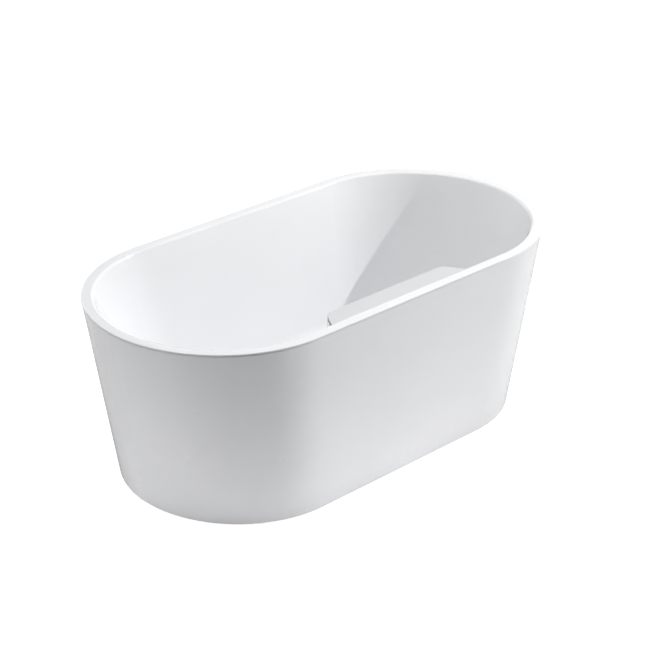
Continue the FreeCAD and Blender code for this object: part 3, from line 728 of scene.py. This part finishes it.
def rounded_rectangle(low, high, radius, step):
    """Points and outward directions round a rectangle with rounded corners, evenly spaced."""
    made = []
    corners = ((high.x - radius, low.y + radius, -90.0), (high.x - radius, high.y - radius, 0.0),
               (low.x + radius, high.y - radius, 90.0), (low.x + radius, low.y + radius, 180.0))
    for number, (x, y, start) in enumerate(corners):
        turns = max(2, round(radius * pi / 2 / step))
        for turn in range(turns + 1):
            angle = radians(start + 90.0 * turn / turns)
            away = Vector((cos(angle), sin(angle), 0.0))
            made.append((Vector((x, y, 0.0)) + away * radius, away))
        following = corners[(number + 1) % 4]
        end = made[-1][0]
        ahead = Vector((following[0], following[1], 0.0)) + made[-1][1] * radius
        steps = max(1, round((ahead - end).length / step))
        for share in range(1, steps):
            made.append((end.lerp(ahead, share / steps), made[-1][1]))
    return made


def resin_fillet(settings):
    """Ragged glass and resin fillet between the board's edge and the tub's underside."""
    low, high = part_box("base_board")
    spacing = 0.008
    lap = 0.0006            # into the tub's underside
    lip = 0.0012            # thickness of the fillet's thin edges
    top = high.z + lap
    work = bmesh.new()
    rows = []
    for point, away in rounded_rectangle(low, high, BOARD_CORNER, spacing):
        reach = settings.fillet_width * ragged(point, amount=0.45, scale=22.0, octaves=4)
        drop = (high.z - low.z) * (0.72 + 0.2 * noise.noise(point * 35.0))
        profile = [(-BURIED, top), (-BURIED, top - drop), (lip, top - drop * 0.96),
                   (reach * 0.18, top - drop * 0.55), (reach * 0.45, top - drop * 0.22),
                   (reach, top - lip), (reach * 1.02, top)]
        rows.append([Vector((point.x, point.y, 0.0)) + away * across + Vector((0.0, 0.0, height))
                     for across, height in profile])
    skin(work, rows, closed=True)
    made_piece("resin_fillet", work, "tub_acrylic", "tub", bpy.data.materials["laminate_backing"])


def batten_beads():
    """Resin beads that bond each batten to the skirt."""
    corner, spacing = 0.003, 0.005
    width, rise = 0.009, 0.008
    lap = 0.0006            # into the skirt
    work = bmesh.new()
    for low, high, points in loose_boxes("skirt_battens"):
        side = 1.0 if low.y > 0 else -1.0
        wall_low, wall_high = [max(abs(point.y) for point in points if abs(point.z - level) < 0.002)
                               for level in (low.z, high.z)]
        slope = (wall_high - wall_low) / (high.z - low.z)
        outline = rounded_rectangle(Vector((low.x, low.z, 0.0)), Vector((high.x, high.z, 0.0)),
                                    corner, spacing)
        rows = []
        for point, away in outline:
            uneven = ragged(point, amount=0.5, scale=60.0, octaves=3)
            reach, depth = width * uneven, rise * uneven
            profile = [(-BURIED, lap), (reach, lap), (reach * 0.4, -depth * 0.35),
                       (reach * 0.12, -depth * 0.8), (-BURIED, -depth)]
            row = []
            for across, out in profile:
                z = point.y + away.y * across
                wall = wall_low + slope * (z - low.z)
                row.append(Vector((point.x + away.x * across, side * (wall + out), z)))
            rows.append(row)
        skin(work, rows, closed=True)
    made_piece("batten_beads", work, "skirt_acrylic", "tub", bpy.data.materials["laminate_backing"])


# Frame: tubes, welds, screws

def weld_bead(work, start, end, radius, facets=10):
    """Rippled weld bead along a line."""
    stride = 0.28           # of the radius, from ring to ring
    along = (end - start).normalized()
    side = along.orthogonal().normalized()
    other = along.cross(side)
    count = max(6, round((end - start).length / (radius * stride)))
    rows = []
    for step in range(count + 1):
        share = step / count
        centre = start.lerp(end, share)
        ripple = 0.82 + 0.18 * abs(sin(share * count * stride * pi))
        taper = min(1.0, 0.35 + 4.0 * min(share, 1.0 - share))
        wander = 0.12 * radius * noise.noise(centre * 300.0)
        reach = radius * ripple * taper
        angles = [tau * facet / facets for facet in range(facets)]
        rows.append([centre + side * (reach * cos(angle) + wander)
                     + other * (reach * sin(angle)) for angle in angles])
    skin(work, rows, capped=True)


def frame_welds(settings):
    """Beads round the ends of the cross members and outriggers."""
    work = bmesh.new()
    radius = settings.bead_radius
    for node, split_sides in (("cross_members", False), ("outriggers", True)):
        for low, high, _ in loose_boxes(node, split_sides):
            for y in (low.y, high.y):
                for x in (low.x, high.x):
                    weld_bead(work, Vector((x, y, low.z + radius)), Vector((x, y, high.z - radius)),
                              radius)
                weld_bead(work, Vector((low.x + radius, y, low.z)),
                          Vector((high.x - radius, y, low.z)), radius)
    made_piece("frame_weld_beads", work, "frame_steel", "tub", smooth_deg=60.0)


def cross_recess(x, y, radius):
    """Depth, from 0 to 1, of a screw's cross recess at a place on its head."""
    arm, reach, slant = radius * 0.13, radius * 0.56, radius * 0.06
    inside = max(min(reach - abs(x), arm - abs(y)), min(reach - abs(y), arm - abs(x)))
    return max(0.0, min(1.0, inside / slant + 0.5))


def screw_head(work, centre, axis, radius, height):
    """Domed screw head with a cross recess, standing on a surface."""
    steps, bands = 40, 14
    edge, dome, recess = 0.35 * height, 0.55, 0.6 * height
    turned = centre.x * 90.0        # each screw stopped at its own angle
    turn = UP.rotation_difference(axis).to_matrix().to_4x4()
    place = Matrix.Translation(centre) @ turn @ Matrix.Rotation(turned, 4, "Z")
    rows = [circle(radius, 0.0, steps, place)]
    for band in range(bands):
        share = 1.0 - band / bands
        level = height * (1.0 - dome * share ** 4) if band else edge
        row = []
        for step in range(steps):
            angle = tau * step / steps
            x, y = radius * share * cos(angle), radius * share * sin(angle)
            row.append(place @ Vector((x, y, level - recess * cross_recess(x, y, radius))))
        rows.append(row)
    rings = skin(work, rows)
    tip = work.verts.new(place @ Vector((0.0, 0.0, height - recess)))
    base = work.verts.new(place @ Vector())
    for step in range(steps):
        following = (step + 1) % steps
        work.faces.new((rings[-1][step], rings[-1][following], tip))
        work.faces.new((rings[0][following], rings[0][step], base))


def frame_screws(settings):
    """Screws under the rails and on the brackets."""
    work = bmesh.new()
    for node in ("rail_front", "rail_back"):
        low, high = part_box(node)
        middle = (low.y + high.y) / 2
        for side in (-1, 1):
            for share in BOARD_SCREWS:
                screw_head(work, Vector((side * share * high.x, middle, low.z)), -UP,
                           settings.board_screw_radius, settings.board_screw_head)
    made_piece("board_screw_heads", work, "stem_steel", "tub")
    work = bmesh.new()
    for low, high, _ in loose_boxes("skirt_brackets"):
        inner = -1.0 if low.y > 0 else 1.0
        y = low.y if low.y > 0 else high.y
        for x in (low.x + settings.screw_inset, high.x - settings.screw_inset):
            for z in (low.z + settings.screw_inset, high.z - settings.screw_inset):
                screw_head(work, Vector((x, y, z)), Vector((0.0, inner, 0.0)),
                           settings.bracket_screw_radius, settings.bracket_screw_head)
    made_piece("bracket_screw_heads", work, "stem_steel", "tub")


# Feet

def threaded_rod(work, middle, radius, bottom, top, settings):
    """Rod with a real helical thread between two heights."""
    turn = ((0.0, 0.0), (0.12, 0.0), (0.5, 1.0), (0.88, 0.0))   # shares of the pitch and the depth
    facets = settings.facets
    rows = ceil((top - bottom) / settings.pitch) + 2
    columns = []
    for facet in range(facets):
        angle = tau * facet / facets
        column = []
        for row in range(rows):
            for share, depth in turn:
                level = bottom + settings.pitch * (row - 1 + share + facet / facets)
                held = max(bottom, min(top, level))
                reach = radius - settings.depth * (depth if held == level else 1.0)
                column.append(work.verts.new(
                    middle + Vector((reach * cos(angle), reach * sin(angle), held))))
        columns.append(column)
    count = len(columns[0])
    for facet in range(facets):
        shift = 0 if facet + 1 < facets else len(turn)
        following = columns[(facet + 1) % facets]
        for row in range(count - 1 - shift):
            work.faces.new((columns[facet][row], following[row + shift], following[row + 1 + shift],
                            columns[facet][row + 1]))
    bmesh.ops.remove_doubles(work, verts=work.verts, dist=MERGE)
    bmesh.ops.holes_fill(work, edges=[edge for edge in work.edges if edge.is_boundary], sides=0)


def hexagon(work, middle, flats, bottom, top, bevel):
    """Spanner hexagon with bevelled corners."""
    corner = flats / 2 / cos(pi / 6)
    profile = ((corner - bevel, bottom), (corner, bottom + bevel * 0.6), (corner, top - bevel * 0.6),
               (corner - bevel, top))
    place = Matrix.Translation(middle)
    skin(work, [circle(reach, height, 6, place) for reach, height in profile], capped=True)


def floor_place(low, high):
    """Place on the floor under the middle of a box."""
    return Vector(((low.x + high.x) / 2, (low.y + high.y) / 2, 0.0))


def foot_screw(name, settings):
    """Threaded stem with its spanner hexagon, in place of the plain one."""
    node = "foot_stem_" + name
    low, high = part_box(node)
    middle = floor_place(low, high)
    pad_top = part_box("foot_pad_" + name)[1].z
    flats = high.y - low.y
    work = bmesh.new()
    threaded_rod(work, middle, FOOT_THREAD_RADIUS, low.z, high.z, settings)
    hexagon(work, middle, flats, pad_top, pad_top + FOOT_SPANNER_HEIGHT, FOOT_SPANNER_BEVEL)
    piece = made_piece("foot_screw_" + name, work, "stem_steel", "foot_" + name, smooth_deg=50.0)
    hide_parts(node)


def grooved_pad(name, settings):
    """Moulded pad with a soft rim and ring grooves below, in place of the plain one."""
    node = "foot_pad_" + name
    low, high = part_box(node)
    middle = floor_place(low, high)
    radius, top = (high.x - low.x) / 2, high.z
    neck = radius * 0.5
    groove, groove_width = settings.groove, 0.12 * radius
    socket_radius, socket_floor = 0.0062, top - 0.0060
    profile = [(0.0, 0.0), (radius * 0.2, 0.0)]
    for share in (0.24, 0.46, 0.68):
        inner = radius * share
        outer = inner + groove_width
        profile += [(inner, 0.0), (inner + groove * 0.4, groove), (outer - groove * 0.4, groove),
                    (outer, 0.0)]
    # The rolled rim, the slope up to the neck, and the socket for the stem's ball.
    profile += [(radius - 0.0012, 0.0), (radius - 0.0003, 0.0003), (radius, 0.0012),
                (radius, 0.0022), (radius - 0.0004, 0.0029), (radius - 0.0014, 0.0036),
                (neck + 0.0016, top - 0.0014), (neck + 0.0008, top - 0.0006), (neck - 0.0004, top),
                (socket_radius + 0.0013, top), (socket_radius + 0.0006, top - 0.0007),
                (socket_radius, socket_floor), (0.0, socket_floor)]
    work = bmesh.new()
    lathe(work, profile, middle, steps=72)
    piece = made_piece("foot_disc_" + name, work, "foot_plastic", "foot_" + name, smooth_deg=40.0)
    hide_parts(node)


# Stage

def place_camera(stage):
    """Camera at the photograph's view."""
    azimuth, elevation = stage.azimuth, stage.elevation
    back = Vector((sin(azimuth) * cos(elevation), -cos(azimuth) * cos(elevation),
                   sin(elevation)))
    right = UP.cross(back).normalized()
    up = back.cross(right)
    leaned_right = right * cos(stage.roll) + up * sin(stage.roll)
    leaned_up = up * cos(stage.roll) - right * sin(stage.roll)
    data = bpy.data.cameras.new("camera")
    data.lens = stage.lens
    data.sensor_width = 36.0
    camera = in_scene("camera", data)
    turn = Matrix((leaned_right, leaned_up, back)).transposed()
    place = Vector(stage.target) + back * stage.distance
    camera.matrix_world = Matrix.Translation(place) @ turn.to_4x4()
    bpy.context.scene.camera = camera


def place_lamp(name, azimuth_deg, elevation_deg, distance, size, power):
    """Round lamp in a direction from the tub's middle, turned towards it."""
    azimuth, elevation = radians(azimuth_deg), radians(elevation_deg)
    away = Vector((cos(azimuth) * cos(elevation), sin(azimuth) * cos(elevation),
                   sin(elevation)))
    middle = (CAD_BOX[0] + CAD_BOX[1]) / 2
    data = bpy.data.lights.new(name, "AREA")
    data.shape = "DISK"
    data.size = size
    data.energy = power
    lamp = in_scene(name, data)
    lamp.location = middle + away * distance
    lamp.rotation_mode = "QUATERNION"
    lamp.rotation_quaternion = away.to_track_quat("Z", "Y")
    return lamp


def place_floor_lamp(name, x, y, depth, size, power):
    """Lamp under the floor that shines up through it."""
    lamp = place_lamp(name, 0.0, -90.0, 1.0, size, power)
    lamp.location = (x, y, -depth)
    lamp.data.cycles.use_multiple_importance_sampling = False


def shine_of(tree, path):
    """1 for what gloss and glass show."""
    return sum_of(tree, "MAXIMUM", path.outputs["Is Glossy Ray"],
                  path.outputs["Is Transmission Ray"])


def seen_directly(tree, gloss):
    """1 for what the camera sees straight, and a lower share for what it sees in gloss and glass."""
    path = add(tree, "ShaderNodeLightPath")
    share = product(tree, shine_of(tree, path), gloss)
    return sum_of(tree, "MAXIMUM", path.outputs["Is Camera Ray"], share)


def floor_finish(stage):
    """White floor that keeps the tub's shadow, but isn't there for a look or a lamp from below."""
    material, tree = blank("studio_floor")
    place = object_place(tree)
    pale = mixed(tree, noise_of(tree, place, 2.0, 3.0), (0.86, 0.86, 0.86, 1.0),
                 (0.88, 0.88, 0.88, 1.0))
    path = add(tree, "ShaderNodeLightPath")
    dimmed = product(tree, shine_of(tree, path), stage.gloss_dimming)
    paper = add(tree, "ShaderNodeBsdfDiffuse", Color=mixed(tree, dimmed, pale, BLACK))
    away = add(tree, "ShaderNodeVectorMath", {"operation": "LENGTH"}, Vector=place).outputs["Value"]
    white = ramp_of(tree, away, stage.shadow_reach * 0.4, stage.shadow_reach, stage.floor_glow,
                    stage.far_glow)
    glow = add(tree, "ShaderNodeEmission", Color=WHITE,
               Strength=product(tree, seen_directly(tree, stage.gloss_glow), white))
    clear = add(tree, "ShaderNodeBsdfTransparent")
    geometry = add(tree, "ShaderNodeNewGeometry")
    open_below = sum_of(tree, "MAXIMUM", geometry.outputs["Backfacing"],
                        path.outputs["Is Shadow Ray"])
    lit = add(tree, "ShaderNodeAddShader")
    plug(tree, paper.outputs["BSDF"], lit.inputs[0])
    plug(tree, glow.outputs["Emission"], lit.inputs[1])
    choice = add(tree, "ShaderNodeMixShader", Fac=open_below)
    plug(tree, lit.outputs["Shader"], choice.inputs[1])
    plug(tree, clear.outputs["BSDF"], choice.inputs[2])
    add(tree, "ShaderNodeOutputMaterial", Surface=choice.outputs["Shader"])
    return material


def place_floor(stage):
    """Round pale floor under the tub."""
    work = bmesh.new()
    bmesh.ops.create_circle(work, cap_ends=True, segments=96, radius=FLOOR_RADIUS,
                            matrix=Matrix.Translation((0.0, 0.0, -FLOOR_GAP)))
    mesh = bpy.data.meshes.new("floor")
    work.to_mesh(mesh)
    work.free()
    mesh.materials.append(floor_finish(stage))
    in_scene("floor", mesh)


def light_world(stage):
    """Even light all round, seen as plain white, with a darker ceiling in gloss."""
    world = bpy.data.worlds.new("studio")
    bpy.context.scene.world = world
    world.use_nodes = True
    tree = world.node_tree
    tree.nodes.clear()
    toward = add(tree, "ShaderNodeSeparateXYZ",
                 Vector=add(tree, "ShaderNodeTexCoord").outputs["Generated"])
    overhead = ramp_of(tree, toward.outputs["Z"], 0.05, 0.6, 1.0, stage.ceiling)
    strength = sum_of(tree, "MAXIMUM", seen_directly(tree, overhead), stage.world)
    light = add(tree, "ShaderNodeBackground", Color=WHITE, Strength=strength)
    add(tree, "ShaderNodeOutputWorld", Surface=light.outputs["Background"])


# Operators

class TUB_OT_effects(bpy.types.Operator):
    """Make the shader effects that the finishes share."""
    bl_idname = "tub.effects"
    bl_label = "Shared effects"

    def execute(self, context):
        for build in (tone_drift, moulded_waves, settled_dust, edge_wear, glass_strands,
                      veneer_and_plies):
            build()
        return {"FINISHED"}


class TUB_OT_shells(bpy.types.Operator):
    """Finish the inner shell, the skirt, the seam and the ledge cover; the seam and the cover carry
    painted shade.
    """
    bl_idname = "tub.shells"
    bl_label = "Shells"

    def execute(self, context):
        dress_shells(context.scene.tub_shells)
        return {"FINISHED"}


class TUB_OT_drain(bpy.types.Operator):
    """Finish the waste, the plug, the overflow and their seals."""
    bl_idname = "tub.drain"
    bl_label = "Waste and overflow"

    def execute(self, context):
        drain = context.scene.tub_drain
        for build in (rubber_finish, chrome_finish, pipe_finish):
            build(drain)
        return {"FINISHED"}


class TUB_OT_board(bpy.types.Operator):
    """Finish the board and battens, and add their resin."""
    bl_idname = "tub.board"
    bl_label = "Board and battens"

    def execute(self, context):
        base = context.scene.tub_base
        flat = wood_finish("board_wood", base, (0.0, 0.0, 0.0))
        upright = wood_finish("batten_wood", base, (radians(90.0), 0.0, 0.0))
        eased_copy("base_board", "plywood_board", "board_wood", base.easing, segments=1,
                   material=flat)
        eased_copy("skirt_battens", "plywood_battens", "board_wood", base.easing, segments=1,
                   material=upright)
        resin_fillet(base)
        batten_beads()
        return {"FINISHED"}


class TUB_OT_frame(bpy.types.Operator):
    """Build the rounded tubes, plates, caps, welds and screws of the steel frame."""
    bl_idname = "tub.frame"
    bl_label = "Steel frame"

    def execute(self, context):
        base = context.scene.tub_base
        steel_finish(base)
        painted_finish(base)
        for node in ("rail_front", "rail_back", "cross_members", "outriggers"):
            eased_copy(node, node + "_tube", "frame_steel", base.tube_corner, segments=4,
                       shortest=base.tube_end)
        eased_copy("skirt_brackets", "bracket_plates", "frame_steel", base.easing, segments=2)
        eased_copy("tube_end_caps", "tube_caps", "foot_plastic", base.easing, segments=3)
        frame_welds(base)
        frame_screws(base)
        return {"FINISHED"}


class TUB_OT_feet(bpy.types.Operator):
    """Build the four threaded feet and their grooved pads."""
    bl_idname = "tub.feet"
    bl_label = "Levelling feet"

    def execute(self, context):
        foot = context.scene.tub_feet
        pad_finish(foot)
        for name in FEET:
            foot_screw(name, foot)
            grooved_pad(name, foot)
        return {"FINISHED"}


class TUB_OT_stage(bpy.types.Operator):
    """Set the camera, the lamps, the floor and the white background."""
    bl_idname = "tub.stage"
    bl_label = "Stage"

    def execute(self, context):
        stage = context.scene.tub_stage
        context.scene.view_settings.view_transform = "Standard"
        place_camera(stage)
        place_floor(stage)
        light_world(stage)
        for name, azimuth, elevation, distance, size, mirrored in LAMPS:
            lamp = place_lamp(name + "_lamp", azimuth, elevation, distance, size,
                              getattr(stage, name + "_power"))
            lamp.visible_glossy = mirrored
        for name, x, y, depth, size in FLOOR_LAMPS:
            place_floor_lamp(name + "_lamp", x, y, depth, size, getattr(stage, name + "_power"))
        return {"FINISHED"}


class TUB_PT_panel(bpy.types.Panel):
    """Bathtub's operators and settings."""
    bl_idname = "TUB_PT_panel"
    bl_label = "Acrylic bathtub"
    bl_space_type = "VIEW_3D"
    bl_region_type = "UI"
    bl_category = "Bathtub"

    def draw(self, context):
        for operator in OPERATORS:
            self.layout.operator(operator.bl_idname)
        for group in SETTINGS:
            settings = getattr(context.scene, group)
            column = self.layout.column(align=True)
            for name in settings.bl_rna.properties.keys():
                if name not in ("rna_type", "name"):
                    column.prop(settings, name)


OPERATORS = (TUB_OT_effects, TUB_OT_shells, TUB_OT_drain, TUB_OT_board, TUB_OT_feet, TUB_OT_frame,
             TUB_OT_stage)
SETTINGS = {"tub_shells": TubShellSettings, "tub_drain": TubDrainSettings,
            "tub_base": TubBaseSettings, "tub_feet": TubFootSettings, "tub_stage": TubStageSettings}


def register():
    """Registers the settings, operators and panel."""
    for group, settings in SETTINGS.items():
        bpy.utils.register_class(settings)
        setattr(bpy.types.Scene, group, PointerProperty(type=settings))
    for cls in (*OPERATORS, TUB_PT_panel):
        bpy.utils.register_class(cls)


def unregister():
    """Takes them away again."""
    for cls in (TUB_PT_panel, *reversed(OPERATORS)):
        bpy.utils.unregister_class(cls)
    for group, settings in SETTINGS.items():
        delattr(bpy.types.Scene, group)
        bpy.utils.unregister_class(settings)


def main():
    """Builds everything in order."""
    register()
    bpy.ops.tub.effects()
    bpy.ops.tub.shells()
    bpy.ops.tub.drain()
    bpy.ops.tub.board()
    bpy.ops.tub.feet()
    bpy.ops.tub.frame()
    bpy.ops.tub.stage()


if __name__ == "__main__":
    main()
